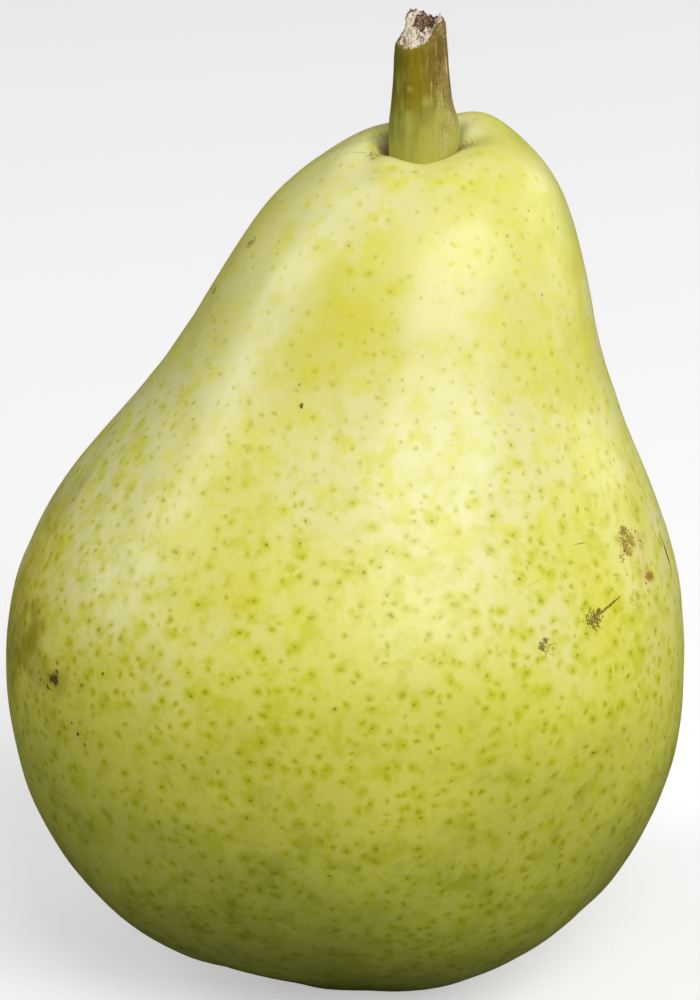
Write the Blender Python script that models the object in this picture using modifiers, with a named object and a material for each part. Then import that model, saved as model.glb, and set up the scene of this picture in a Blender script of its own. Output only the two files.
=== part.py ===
"""A whole green pear that stands upright on the rim round its calyx.

Metres, +Z up. The origin is on the surface that the pear stands on, under the middle of its belly.
+X is the side that the neck leans to and -Y is the pear's front.

Pieces: the fruit itself, its woody stem, and in the hollow underneath the five dried sepals of the
flower with the tuft of its stamens.
"""

import math

import bmesh
import bpy
from mathutils import Matrix, Vector
from mathutils.geometry import interpolate_bezier

MM = 0.001

# Driving dimensions.
BELLY_RADIUS = 35.0 * MM
SHOULDER_HEIGHT = 87.4 * MM
STEM_LENGTH = 17.2 * MM
GAP = 0.3 * MM  # between pieces that grow into each other

# The fruit's outline as (radius, height), in shares of BELLY_RADIUS and SHOULDER_HEIGHT. It runs from
# the middle of the calyx hollow, over the rim that the pear stands on, up the outside and down into
# the socket that holds the stem.
OUTLINE = (
    (0.000, 0.086),
    (0.110, 0.085),
    (0.180, 0.055),
    (0.222, 0.012),
    (0.275, -0.007),
    (0.372, 0.012),
    (0.560, 0.050),
    (0.792, 0.118),
    (0.912, 0.203),
    (0.977, 0.306),
    (0.984, 0.424),
    (0.932, 0.515),
    (0.808, 0.614),
    (0.657, 0.708),
    (0.560, 0.798),
    (0.484, 0.876),
    (0.393, 0.944),
    (0.255, 0.988),
    (0.165, 1.000),
    (0.130, 0.982),
    (0.112, 0.955),
    (0.095, 0.942),
    (0.000, 0.940),
)
RINGS_PER_STEP = 2  # rings of points between one outline point and the next
FRUIT_SEGMENTS = 48

# How far the fruit's axis wanders off the vertical.
NECK_LEAN = 7.4 * MM
NECK_LEAN_FROM, NECK_LEAN_TO = 40.0 * MM, 88.0 * MM
NECK_SET_BACK = 1.2 * MM
FOOT_SHIFT = 2.4 * MM
FOOT_SHIFT_HEIGHT = 14.0 * MM

# Departures from a round section: (lobes round the axis, share of the radius, turn in degrees).
BELLY_SWELLS = ((2, 0.010, 20.0), (3, 0.008, -35.0))
RIM_LOBES = (5, 0.060, 12.0)
RIM_LOBE_HEIGHT = 22.0 * MM
SHOULDER_SLOPE = 0.22  # rise of the shoulder towards its high side, for each unit outwards
SHOULDER_SLOPE_TURN = 40.0  # degrees from +X to the high side
SHOULDER_DEPTH = 10.0 * MM  # how far below the shoulder the slope fades out
SOCKET_RADIUS = 3.6 * MM  # the slope starts at the socket's wall

# The stem as (share of its length, radius, shift along X), from its foot to its broken end.
STEM_OUTLINE = (
    (0.00, 3.00 * MM, 0.0 * MM),
    (0.12, 3.30 * MM, 0.1 * MM),
    (0.30, 3.40 * MM, 0.3 * MM),
    (0.45, 2.95 * MM, 0.3 * MM),
    (0.70, 2.75 * MM, 0.3 * MM),
    (0.86, 2.70 * MM, 0.3 * MM),
    (1.00, 2.50 * MM, 0.4 * MM),
)
STEM_SEGMENTS = 24
STEM_RINGS_PER_STEP = 3
STEM_END_SLANT = 2.7 * MM  # how much lower the broken end is on its low side
STEM_END_TURN = 225.0  # degrees from +X to the low side
STEM_END_CRATER = 1.3 * MM

SEPALS = 5
SEPAL_LENGTH = 4.8 * MM
SEPAL_WIDTH = 3.0 * MM
SEPAL_THICKNESS = 0.6 * MM
SEPAL_RING_RADIUS = 2.5 * MM
SEPAL_LEAN = 18.0  # degrees off the vertical, outwards

STAMENS = 9
STAMEN_LENGTH = 3.4 * MM
STAMEN_RADIUS = 0.32 * MM
TUFT_RADIUS = 1.5 * MM


def clear_scene():
    """Removes every object of the open scene."""
    for leftover in list(bpy.data.objects):
        bpy.data.objects.remove(leftover)


def collection_named(name):
    """A new collection in the scene."""
    group = bpy.data.collections.new(name)
    bpy.context.scene.collection.children.link(group)
    return group


def surface(name, colour, roughness):
    """A Principled material of one colour."""
    material = bpy.data.materials.new(name)
    material.use_nodes = True
    shader = material.node_tree.nodes["Principled BSDF"]
    shader.inputs["Base Color"].default_value = (*colour, 1.0)
    shader.inputs["Roughness"].default_value = roughness
    shader.inputs["Metallic"].default_value = 0.0
    return material


def object_from(shape, name, group, material):
    """The bmesh as a smooth-shaded object in the collection."""
    mesh = bpy.data.meshes.new(name)
    shape.to_mesh(mesh)
    shape.free()
    mesh.shade_smooth()
    mesh.materials.append(material)
    piece = bpy.data.objects.new(name, mesh)
    group.objects.link(piece)
    return piece


def smooth_step(value, low, high):
    """0 up to low, 1 from high, and an S-shaped rise between them."""
    share = min(max((value - low) / (high - low), 0.0), 1.0)
    return share * share * (3.0 - 2.0 * share)


def smooth_path(points, steps):
    """A smooth curve through the points, with that many steps from each to the next."""
    knots = [Vector(point) for point in points]
    knots = [2 * knots[0] - knots[1], *knots, 2 * knots[-1] - knots[-2]]
    path = []
    for before, start, end, after in zip(knots, knots[1:], knots[2:], knots[3:]):
        leave = start + (end - before) / 6
        arrive = end - (after - start) / 6
        path += interpolate_bezier(start, leave, arrive, end, steps + 1)[:-1]
    return [*path, knots[-2]]


def ringed_ball(rings, segments):
    """A UV sphere with that many rings of points from pole to pole, and its points sorted by ring."""
    shape = bmesh.new()
    bmesh.ops.create_uvsphere(shape, u_segments=segments, v_segments=rings - 1, radius=1.0)
    levels = {}
    for point in shape.verts:
        latitude = math.asin(min(max(point.co.z, -1.0), 1.0))
        level = round((latitude / math.pi + 0.5) * (rings - 1))
        levels.setdefault(level, []).append(point)
    return shape, [levels[level] for level in range(rings)]


def axis_offset(height):
    """How far the fruit's axis is from the vertical at a height."""
    lean = smooth_step(height, NECK_LEAN_FROM, NECK_LEAN_TO)
    foot = 1.0 - smooth_step(height, 0.0, FOOT_SHIFT_HEIGHT)
    return Vector((NECK_LEAN * lean + FOOT_SHIFT * foot, NECK_SET_BACK * lean, 0.0))


def swell(angle, height):
    """What the radius is multiplied by: the fruit is never quite round, and its rim is lobed."""
    factor = 1.0
    for lobes, share, turn in BELLY_SWELLS:
        factor += share * math.cos(lobes * (angle - math.radians(turn)))
    lobes, share, turn = RIM_LOBES
    fade = 1.0 - smooth_step(height, 0.0, RIM_LOBE_HEIGHT)
    return factor + share * fade * math.cos(lobes * (angle - math.radians(turn)))


def fruit_point(radius, height, angle):
    """A point of the fruit's skin. What would sink below the surface it stands on is pressed flat."""
    reach = radius * swell(angle, height)
    point = axis_offset(height) + Vector((reach * math.cos(angle), reach * math.sin(angle), height))
    near_top = smooth_step(height, SHOULDER_HEIGHT - SHOULDER_DEPTH, SHOULDER_HEIGHT)
    towards_high_side = math.cos(angle - math.radians(SHOULDER_SLOPE_TURN))
    point.z += SHOULDER_SLOPE * near_top * max(reach - SOCKET_RADIUS, 0.0) * towards_high_side
    point.z = max(point.z, 0.0)
    return point


def make_fruit(group, material):
    """The flesh and skin, which are one piece."""
    outline = smooth_path([(*point, 0.0) for point in OUTLINE], RINGS_PER_STEP)
    shape, levels = ringed_ball(len(outline), FRUIT_SEGMENTS)
    for (radius, height, _), ring in zip(outline, levels):
        for point in ring:
            angle = math.atan2(point.co.y, point.co.x)
            point.co = fruit_point(radius * BELLY_RADIUS, height * SHOULDER_HEIGHT, angle)
    return object_from(shape, "pear_body", group, material)


def make_stem(group, material):
    """The woody stem, flared at its foot and broken off at a slant, in the fruit's socket."""
    stations = [(share, radius / MM, shift / MM) for share, radius, shift in STEM_OUTLINE]
    sides = smooth_path(stations, STEM_RINGS_PER_STEP)
    crater = Vector((1.0 - STEM_END_CRATER / STEM_LENGTH, 0.0, sides[-1].z))
    rings = [Vector((0.0, 0.0, 0.0)), *sides, sides[-1].lerp(crater, 0.5), crater]
    shape, levels = ringed_ball(len(rings), STEM_SEGMENTS)
    for (share, radius, shift), ring in zip(rings, levels):
        slant = STEM_END_SLANT * smooth_step(share, 0.70, 0.95)
        for point in ring:
            angle = math.atan2(point.co.y, point.co.x)
            to_low_side = math.cos(angle - math.radians(STEM_END_TURN)) * radius * MM
            drop = slant * (1.0 + to_low_side / STEM_OUTLINE[-1][1]) / 2
            point.co = Vector((
                shift * MM + radius * MM * math.cos(angle),
                radius * MM * math.sin(angle),
                share * STEM_LENGTH - drop,
            ))
    stem = object_from(shape, "stem", group, material)
    socket_floor = OUTLINE[-1][1] * SHOULDER_HEIGHT
    stem.location = axis_offset(socket_floor) + Vector((0.0, 0.0, socket_floor + GAP))
    return stem


def make_calyx(group, material, stamen_material):
    """The five dried sepals round the middle of the hollow, and the stamens inside them."""
    floor = OUTLINE[1][1] * SHOULDER_HEIGHT
    eye = bpy.data.objects.new("calyx_eye", None)
    eye.location = axis_offset(floor) + Vector((0.0, 0.0, floor))
    group.objects.link(eye)
    for number in range(SEPALS):
        make_sepal(number, eye, group, material)
    make_stamen_tuft(eye, group, stamen_material)


def make_sepal(number, eye, group, material):
    """One sepal: a pointed leaf that hangs from the hollow's floor and curls outwards at its tip."""
    shape = bmesh.new()
    bmesh.ops.create_grid(shape, x_segments=4, y_segments=6, size=0.5)
    for point in shape.verts:
        along = point.co.y + 0.5
        width = SEPAL_WIDTH * (1.0 - 0.78 * along ** 1.6)
        cup = 0.8 * MM * (2.0 * point.co.x) ** 2
        curl = 1.1 * MM * along ** 2
        point.co = Vector((curl - cup, point.co.x * width, -along * SEPAL_LENGTH))
    sepal = object_from(shape, f"sepal_{number + 1}", group, material)
    wall = sepal.modifiers.new("thickness", "SOLIDIFY")
    wall.thickness = SEPAL_THICKNESS
    wall.offset = 0.0
    soft = sepal.modifiers.new("soft", "SUBSURF")
    soft.levels = 1
    soft.render_levels = 1
    turn = Matrix.Rotation(math.tau * (number + 0.3) / SEPALS, 4, "Z")
    place = Matrix.Translation((SEPAL_RING_RADIUS, 0.0, -GAP - SEPAL_THICKNESS))
    tilt = Matrix.Rotation(-math.radians(SEPAL_LEAN), 4, "Y")
    sepal.parent = eye
    sepal.matrix_local = turn @ place @ tilt
    return sepal


def make_stamen_tuft(eye, group, material):
    """The dried stamens: thin cones that spread from one low cushion, joined to it."""
    shape = bmesh.new()
    bmesh.ops.create_uvsphere(shape, u_segments=16, v_segments=8, radius=TUFT_RADIUS)
    bmesh.ops.scale(shape, vec=(1.0, 1.0, 0.4), verts=shape.verts)
    tuft = object_from(shape, "stamen_tuft", group, material)
    tuft.parent = eye
    tuft.location = (0.0, 0.0, -0.4 * TUFT_RADIUS - GAP)
    cutters = bpy.data.collections["joined_shapes"]
    for number in range(STAMENS):
        around = math.tau * number / STAMENS
        spread = math.radians(12.0 + 14.0 * (number % 2))
        stamen = bmesh.new()
        bmesh.ops.create_cone(
            stamen,
            cap_ends=True,
            segments=8,
            radius1=STAMEN_RADIUS,
            radius2=0.5 * STAMEN_RADIUS,
            depth=STAMEN_LENGTH,
            matrix=Matrix.Translation((0.0, 0.0, STAMEN_LENGTH / 2)),
        )
        thread = object_from(stamen, f"stamen_{number + 1}", cutters, material)
        thread.hide_render = True
        thread.display_type = "WIRE"
        thread.parent = tuft
        outwards = Matrix.Translation((0.55 * TUFT_RADIUS, 0.0, 0.0))
        downwards = Matrix.Rotation(math.pi - spread, 4, "Y")
        thread.matrix_local = Matrix.Rotation(around, 4, "Z") @ outwards @ downwards
        join = tuft.modifiers.new(f"stamen_{number + 1}", "BOOLEAN")
        join.operation = "UNION"
        join.object = thread
    return tuft


def main():
    clear_scene()
    pear = collection_named("pear")
    collection_named("joined_shapes")
    skin = surface("skin", (0.62, 0.60, 0.13), 0.45)
    bark = surface("stem_bark", (0.21, 0.16, 0.03), 0.60)
    dry_leaf = surface("dry_sepal", (0.10, 0.06, 0.03), 0.80)
    dry_thread = surface("dry_stamen", (0.05, 0.03, 0.02), 0.85)
    make_fruit(pear, skin)
    make_stem(pear, bark)
    make_calyx(pear, dry_leaf, dry_thread)


main()
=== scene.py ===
"""A ripening green pear with its stem, its dried calyx and a plain studio round it.

Metres, +Z up. The pear stands on the floor at Z = 0, its neck leans towards +X and its front faces -Y.
Run as a script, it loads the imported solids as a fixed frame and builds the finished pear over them.
"""

import math

import bmesh
import bpy
from bpy.props import FloatProperty, FloatVectorProperty, IntProperty, PointerProperty
from mathutils import Euler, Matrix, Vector


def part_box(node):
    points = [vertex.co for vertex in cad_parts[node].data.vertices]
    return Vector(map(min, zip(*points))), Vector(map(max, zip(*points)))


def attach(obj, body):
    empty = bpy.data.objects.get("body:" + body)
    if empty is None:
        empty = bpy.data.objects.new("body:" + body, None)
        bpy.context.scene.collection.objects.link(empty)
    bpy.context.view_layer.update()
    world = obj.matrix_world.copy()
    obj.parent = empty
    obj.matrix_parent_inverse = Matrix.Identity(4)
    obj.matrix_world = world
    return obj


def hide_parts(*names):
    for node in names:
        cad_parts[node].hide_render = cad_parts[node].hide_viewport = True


bl_info = {
    "name": "Pear",
    "version": (1, 0, 0),
    "blender": (4, 5, 0),
    "location": "3D View > Sidebar > Pear",
    "description": "Builds a fresh pear with its stem and calyx, and a studio round it",
    "category": "Add Mesh",
}

MM = 0.001
NEAR = 0.01 * MM  # points closer than this count as at one place or height
ORIGIN = Vector((0.0, 0.0, 0.0))
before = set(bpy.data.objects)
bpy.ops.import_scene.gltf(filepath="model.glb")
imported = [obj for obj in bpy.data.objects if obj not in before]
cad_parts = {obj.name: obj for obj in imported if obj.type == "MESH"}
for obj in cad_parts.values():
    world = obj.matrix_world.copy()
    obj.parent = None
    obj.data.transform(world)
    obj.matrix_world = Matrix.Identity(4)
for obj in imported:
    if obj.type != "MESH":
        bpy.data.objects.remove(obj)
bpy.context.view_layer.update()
STEM_LOW, STEM_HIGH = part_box("stem")


# ---------------- settings


def colour(name, description, default):
    """A colour property."""
    return FloatVectorProperty(
        name=name, description=description, default=default, subtype="COLOR", size=3, min=0.0, max=1.0
    )


def length(name, description, default):
    """A length property, in metres."""
    return FloatProperty(
        name=name, description=description, default=default, subtype="DISTANCE", unit="LENGTH"
    )


def fraction(name, description, default):
    """A number from 0 to 1."""
    return FloatProperty(name=name, description=description, default=default, min=0.0, max=1.0)


def watts(name, description, default):
    """The power of a lamp."""
    return FloatProperty(name=name, description=description, default=default, min=0.0, unit="POWER")


class PearSkinSettings(bpy.types.PropertyGroup):
    """What a user would change on the fruit."""

    pale: colour("Pale skin", "Creamy skin between the blotches", (0.83, 0.795, 0.35))
    ripe: colour("Ripe skin", "Deeper blotches in the pale skin", (0.78, 0.755, 0.105))
    green: colour("Green skin", "Skin low on the belly", (0.37, 0.39, 0.042))
    deep_green: colour("Deep green", "Blotches in the green skin", (0.29, 0.315, 0.006))
    edge_green: colour("Green flush", "Greener skin on the neck", (0.60, 0.64, 0.05))
    yellow: colour("Yellow patches", "Deep yellow patches on the neck and the belly", (0.76, 0.69, 0.045))
    # Real discolouring round scars, and painted shade: darker skin on the left side and in the hollow round
    # the stem.
    stain_and_painted_shade: colour("Stains", "Darker skin round scars", (0.36, 0.31, 0.003))
    tan: colour("Tan", "Warmer skin round the russet", (0.80, 0.67, 0.26))
    # Whitish skin, and painted light: a painted highlight on the neck and painted light on the shaded walls
    # of the stem's socket.
    bloom_and_painted_light: colour("Bloom", "Whitish skin beside the stem", (0.95, 0.93, 0.46))
    blotch: colour("Soft blotches", "How the soft blotches darken the skin", (0.84, 0.87, 0.22))
    pore: colour("Pores", "How a pore's core darkens the skin", (0.70, 0.69, 0.40))
    ring: colour("Pore rings", "How the rings round the pores darken the skin", (0.83, 0.845, 0.13))
    pinpoint: colour("Pinpoints", "The darkest pores", (0.10, 0.085, 0.002))
    scar: colour("Scars", "Corky scars and scratches", (0.10, 0.064, 0.0))
    rust: colour("Russet", "Brown specks and smears", (0.14, 0.076, 0.0))
    sore: colour("Sore", "Orange-brown spot", (0.36, 0.165, 0.0))
    pore_spacing: length("Pore spacing", "From one pore to the next", 2.0 * MM)
    pore_size: length("Pore size", "Radius of a pore's dark core", 0.30 * MM)
    ring_size: length("Ring size", "Radius of the ring round a pore", 0.88 * MM)
    roughness: fraction("Roughness", "How matt the waxy skin is", 0.36)


class PearStemSettings(bpy.types.PropertyGroup):
    """What a user would change on the stem."""

    olive: colour("Olive bark", "Middle of the stem", (0.27, 0.20, 0.003))
    green: colour("Green bark", "Greener side of the stem", (0.185, 0.155, 0.006))
    brown: colour("Brown bark", "Brown side of the stem", (0.185, 0.095, 0.018))
    pale: colour("Pale bark", "Pale blotches and the foot of the stem", (0.47, 0.46, 0.080))
    dust: colour("Dust", "Pale specks and ridges", (0.55, 0.48, 0.17))
    crack: colour("Cracks", "Fine lines along the bark", (0.09, 0.075, 0.006))
    cork: colour("Cork", "Torn fibres of the broken end", (0.80, 0.71, 0.57))
    cork_shade: colour("Cork in shade", "Between the torn fibres", (0.38, 0.27, 0.175))
    pith: colour("Pith", "The dark middle of the broken end", (0.07, 0.028, 0.014))


class PearCalyxSettings(bpy.types.PropertyGroup):
    """What a user would change on the dried flower underneath."""

    sepal: colour("Sepals", "The dried sepals", (0.16, 0.085, 0.035))
    sepal_edge: colour("Sepal edges", "The nearly black tips and edges", (0.030, 0.017, 0.009))
    sepal_down: colour("Down", "Greyish fluff at the foot of the sepals", (0.36, 0.29, 0.19))
    stamen: colour("Stamens", "The dried threads", (0.11, 0.055, 0.022))
    anther: colour("Anthers", "The shrivelled heads of the stamens", (0.035, 0.018, 0.010))
    stamens: IntProperty(name="Stamens", description="How many stamens there are", default=14, min=5, max=30)


class PearStageSettings(bpy.types.PropertyGroup):
    """The studio."""

    camera_distance: length("Camera distance", "From the lens to the middle of the belly", 0.55)
    camera_elevation: FloatProperty(
        name="Camera elevation",
        description="Above level",
        default=math.radians(20.0),
        subtype="ANGLE",
        unit="ROTATION",
    )
    key_power: watts("Key light", "Power of the large soft light", 8.0)
    strip_power: watts("Strip light", "Power of the light at the left", 2.5)
    edge_power: watts("Edge lights", "Power of the light behind at the right", 2.2)
    floor: colour("Floor", "The pale floor as it is seen", (0.65, 0.65, 0.65))
    floor_bounce: fraction("Floor bounce", "Share of the light that the floor sends back", 0.28)


# ---------------- modelling helpers


def only(piece):
    """Makes the piece the one selected and active object."""
    bpy.ops.object.select_all(action="DESELECT")
    piece.select_set(True)
    bpy.context.view_layer.objects.active = piece


def edit(piece):
    """Opens the piece in edit mode with nothing selected, in vertex selection."""
    only(piece)
    bpy.ops.object.mode_set(mode="EDIT")
    bpy.context.tool_settings.mesh_select_mode = (True, False, False)
    bpy.ops.mesh.select_all(action="DESELECT")


def done():
    """Leaves edit mode."""
    bpy.ops.object.mode_set(mode="OBJECT")


def select_points(piece, wanted):
    """Selects the points of the open piece whose place passes the test, and no others."""
    shape = bmesh.from_edit_mesh(piece.data)
    for point in shape.verts:
        point.select_set(wanted(point.co))
    shape.select_flush_mode()
    bmesh.update_edit_mesh(piece.data)


def select_everything():
    """Selects all of the open piece."""
    bpy.ops.mesh.select_all(action="SELECT")


def scale(x, y, z, centre=ORIGIN):
    """Scales what is selected about the centre."""
    bpy.ops.transform.resize(value=(x, y, z), center_override=centre)


def move_by(x, y, z):
    """Moves what is selected."""
    bpy.ops.transform.translate(value=(x, y, z))


def added(name):
    """The object that an operator has just added, renamed."""
    piece = bpy.context.object
    piece.name = name
    piece.data.name = name
    return piece


def apply(piece, kind, **settings):
    """Adds a modifier with these settings and applies it."""
    only(piece)
    modifier = piece.modifiers.new(kind.lower(), kind)
    for name, value in settings.items():
        setattr(modifier, name, value)
    bpy.ops.object.modifier_apply(modifier=modifier.name)


def subdivide(piece, levels):
    """Catmull-Clark subdivision, applied."""
    apply(piece, "SUBSURF", levels=levels, render_levels=levels)


def lump(piece, size, height, stretch=1.0, direction="NORMAL", group=""):
    """Presses a cloud pattern into the piece. The stretch draws it out along Z, like the grain of wood."""
    pattern = bpy.data.textures.new("cloud", "CLOUDS")
    pattern.noise_scale = size
    pattern.noise_depth = 2
    bpy.ops.object.empty_add()
    guide = bpy.context.object
    guide.scale = (1.0, 1.0, stretch)
    apply(
        piece,
        "DISPLACE",
        texture=pattern,
        strength=height,
        mid_level=0.5,
        texture_coords="OBJECT",
        texture_coords_object=guide,
        direction=direction,
        vertex_group=group,
    )
    bpy.data.objects.remove(guide)


def nudge(piece, centre, reach, move):
    """Pulls the open piece's nearest point by the move, and the points within its reach with it."""
    shape = bmesh.from_edit_mesh(piece.data)
    nearest = min(shape.verts, key=lambda point: (point.co - Vector(centre)).length_squared).co.copy()
    select_points(piece, lambda place: (place - nearest).length < NEAR)
    bpy.ops.transform.translate(
        value=move, use_proportional_edit=True, proportional_edit_falloff="SMOOTH", proportional_size=reach
    )


def finish_piece(piece, body, material, slot, *replaced):
    """Shades the piece smooth, gives it its material, and ties it to the frame."""
    only(piece)
    bpy.ops.object.shade_smooth()
    piece.data.materials.clear()
    piece.data.materials.append(material)
    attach(piece, body)
    if replaced:
        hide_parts(*replaced)


# ---------------- material helpers


class Net:
    """Short names for making nodes in one node tree."""

    def __init__(self, tree):
        self.tree = tree

    def add(self, kind, inputs=None, **settings):
        node = self.tree.nodes.new(kind)
        for name, value in settings.items():
            setattr(node, name, value)
        for name, value in (inputs or {}).items():
            self.feed(node.inputs[name], value)
        return node

    def feed(self, socket, value):
        if isinstance(value, bpy.types.NodeSocket):
            self.tree.links.new(value, socket)
        elif socket.type == "RGBA" and len(value) == 3:
            socket.default_value = (*value, 1.0)
        else:
            socket.default_value = value

    def fill(self, node, **inputs):
        """Feeds the sockets of a node. In their names, _ stands for a space."""
        for name, value in inputs.items():
            self.feed(node.inputs[name.replace("_", " ")], value)

    def maths(self, operation, first, second=None, clamp=False):
        values = {0: first} if second is None else {0: first, 1: second}
        return self.add("ShaderNodeMath", values, operation=operation, use_clamp=clamp).outputs[0]

    def times(self, first, second):
        return self.maths("MULTIPLY", first, second)

    def plus(self, first, second):
        return self.maths("ADD", first, second)

    def minus(self, first, second):
        return self.maths("SUBTRACT", first, second)

    def larger(self, first, second):
        return self.maths("MAXIMUM", first, second)

    def swing(self, pattern, width):
        """A pattern that runs from 0 to 1, as a swing of this width to both sides of 0."""
        return self.times(self.minus(pattern, 0.5), width)

    def vector(self, operation, first, second=None, scale=None):
        values = {0: first}
        if second is not None:
            values[1] = second
        if scale is not None:
            values["Scale"] = scale
        node = self.add("ShaderNodeVectorMath", values, operation=operation)
        return node.outputs["Value" if operation in ("DOT_PRODUCT", "LENGTH", "DISTANCE") else "Vector"]

    def ramp(self, value, low, high, to_low=0.0, to_high=1.0):
        """A smooth step from to_low at low to to_high at high."""
        inputs = {"Value": value, "From Min": low, "From Max": high, "To Min": to_low, "To Max": to_high}
        return self.add("ShaderNodeMapRange", inputs, interpolation_type="SMOOTHSTEP").outputs["Result"]

    def mix(self, share, first, second, blend="MIX"):
        """A share of the second colour over the first. A Mix node's colours are its sockets 6, 7 and 2."""
        values = {0: share, 6: first, 7: second}
        return self.add("ShaderNodeMix", values, data_type="RGBA", blend_type=blend).outputs[2]

    def noise(self, place, scale, detail=2.0, roughness=0.5, output="Fac"):
        inputs = {"Vector": place, "Scale": scale, "Detail": detail, "Roughness": roughness}
        return self.add("ShaderNodeTexNoise", inputs).outputs[output]

    def drawn_out(self, place, share):
        """The place with its height times this share, which draws a pattern out along Z."""
        return self.add("ShaderNodeMapping", {"Vector": place, "Scale": (1.0, 1.0, share)}).outputs[0]

    def painted(self, name):
        """What paint() stored under this name."""
        layer = self.add("ShaderNodeAttribute", attribute_name=name, attribute_type="GEOMETRY")
        return layer.outputs["Fac"]

    def bump(self, shader, height, strength, distance):
        relief = self.add("ShaderNodeBump", {"Height": height, "Strength": strength, "Distance": distance})
        self.fill(shader, Normal=relief.outputs["Normal"])

    def group(self, tree, **inputs):
        node = self.add("ShaderNodeGroup", node_tree=tree)
        self.fill(node, **inputs)
        return node.outputs


def new_group(name, inputs, outputs):
    """An empty shader node group with these sockets: its tree and net, what it is given and what it fills."""
    tree = bpy.data.node_groups.new(name, "ShaderNodeTree")
    kinds = {"value": "NodeSocketFloat", "vector": "NodeSocketVector"}
    for socket, kind in inputs.items():
        tree.interface.new_socket(socket, in_out="INPUT", socket_type=kinds[kind])
    for socket, kind in outputs.items():
        tree.interface.new_socket(socket, in_out="OUTPUT", socket_type=kinds[kind])
    net = Net(tree)
    return tree, net, net.add("NodeGroupInput").outputs, net.add("NodeGroupOutput").inputs


def make_pores_group():
    """Pores: one dot in each cell of the skin, with a soft ring round it.

    A dot is measured along the skin from where its cell's seed would come up through it, so it is round
    however deep the seed lies. Seeds far from the skin are left out, as their cells would cut their dots.
    """
    tree, net, given, result = new_group(
        "Pores",
        {
            "Vector": "vector",
            "Spacing": "value",
            "Core Radius": "value",
            "Ring Radius": "value",
            "Share": "value",
        },
        {"Core": "value", "Point": "value", "Ring": "value"},
    )
    per_metre = net.maths("DIVIDE", 1.0, given["Spacing"])
    layout = {"Vector": given["Vector"], "Scale": per_metre, "Randomness": 1.0}
    cells = net.add("ShaderNodeTexVoronoi", layout).outputs
    normal = net.add("ShaderNodeNewGeometry").outputs["Normal"]
    away = net.vector("SUBTRACT", given["Vector"], cells["Position"])
    depth = net.vector("DOT_PRODUCT", away, normal)
    distance = net.vector("LENGTH", net.vector("SUBTRACT", away, net.vector("SCALE", normal, scale=depth)))
    depth = net.maths("DIVIDE", net.maths("ABSOLUTE", depth), given["Spacing"])
    chance = net.add("ShaderNodeSeparateColor", {"Color": cells["Color"]}).outputs
    shown = net.times(net.ramp(depth, 0.46, 0.30), net.maths("LESS_THAN", chance["Red"], given["Share"]))
    edges = net.add("ShaderNodeTexVoronoi", layout, feature="DISTANCE_TO_EDGE").outputs["Distance"]
    shown = net.times(shown, net.ramp(edges, 0.0, 0.25))
    core_radius = net.times(given["Core Radius"], net.ramp(chance["Green"], 0.0, 1.0, 0.65, 1.25))
    ring_radius = net.times(given["Ring Radius"], net.ramp(chance["Blue"], 0.0, 1.0, 0.65, 1.25))
    core = net.ramp(distance, core_radius, 0.0)
    point = net.ramp(distance, net.times(core_radius, 0.5), 0.0)
    point = net.times(point, net.maths("GREATER_THAN", chance["Blue"], 0.85))
    ring = net.ramp(distance, ring_radius, net.times(ring_radius, 0.15))
    net.feed(result["Core"], net.times(core, shown))
    net.feed(result["Point"], net.times(point, shown))
    net.feed(result["Ring"], net.times(ring, shown))
    return tree


def along_skin(net, away):
    """How long an arrow is without the part of it that goes into the skin or out of it, up to 1 mm."""
    normal = net.add("ShaderNodeNewGeometry").outputs["Normal"]
    depth = net.vector("DOT_PRODUCT", away, normal)
    depth = net.larger(net.maths("MINIMUM", depth, 1.0 * MM), -1.0 * MM)
    return net.vector("LENGTH", net.vector("SUBTRACT", away, net.vector("SCALE", normal, scale=depth)))


def make_spot_group():
    """Spot: a soft patch round one place, with a ragged rim, and the same patch broken into specks."""
    tree, net, given, result = new_group(
        "Spot",
        {
            "Vector": "vector",
            "Centre": "vector",
            "Radius": "value",
            "Softness": "value",
            "Wobble": "value",
            "Grain": "value",
        },
        {"Mask": "value", "Specks": "value"},
    )
    distance = net.vector("DISTANCE", given["Vector"], given["Centre"])
    distance = net.plus(net.maths("DIVIDE", distance, given["Radius"]), given["Wobble"])
    mask = net.ramp(distance, 1.0, net.minus(1.0, given["Softness"]))
    level = net.minus(given["Grain"], net.times(mask, 0.20))
    net.feed(result["Mask"], mask)
    net.feed(result["Specks"], net.times(net.ramp(level, 0.36, 0.31), net.ramp(mask, 0.0, 0.15)))
    return tree


def make_scratch_group():
    """Scratch: a thin mark along a straight line between two places, tapered at both ends."""
    tree, net, given, result = new_group(
        "Scratch",
        {"Vector": "vector", "Start": "vector", "End": "vector", "Width": "value", "Wobble": "value"},
        {"Mask": "value"},
    )
    line = net.vector("SUBTRACT", given["End"], given["Start"])
    reach = net.vector("SUBTRACT", given["Vector"], given["Start"])
    along = net.maths(
        "DIVIDE", net.vector("DOT_PRODUCT", reach, line), net.vector("DOT_PRODUCT", line, line), clamp=True
    )
    distance = along_skin(net, net.vector("SUBTRACT", reach, net.vector("SCALE", line, scale=along)))
    taper = net.times(along, net.minus(1.0, along))
    width = net.times(given["Width"], net.plus(0.35, net.times(taper, 2.6)))
    distance = net.plus(distance, net.times(given["Wobble"], width))
    net.feed(result["Mask"], net.ramp(distance, width, net.times(width, 0.3)))
    return tree


def shared_group(name):
    """One of the effects, built when a material first asks for it."""
    makers = {"Pores": make_pores_group, "Spot": make_spot_group, "Scratch": make_scratch_group}
    return bpy.data.node_groups.get(name) or makers[name]()


def new_material(name):
    """A material with only a Principled BSDF, its net, the shader and the place on the object."""
    material = bpy.data.materials.new(name)
    material.use_nodes = True
    net = Net(material.node_tree)
    shader = material.node_tree.nodes["Principled BSDF"]
    place = net.add("ShaderNodeTexCoord").outputs["Object"]
    return material, net, shader, place
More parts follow.
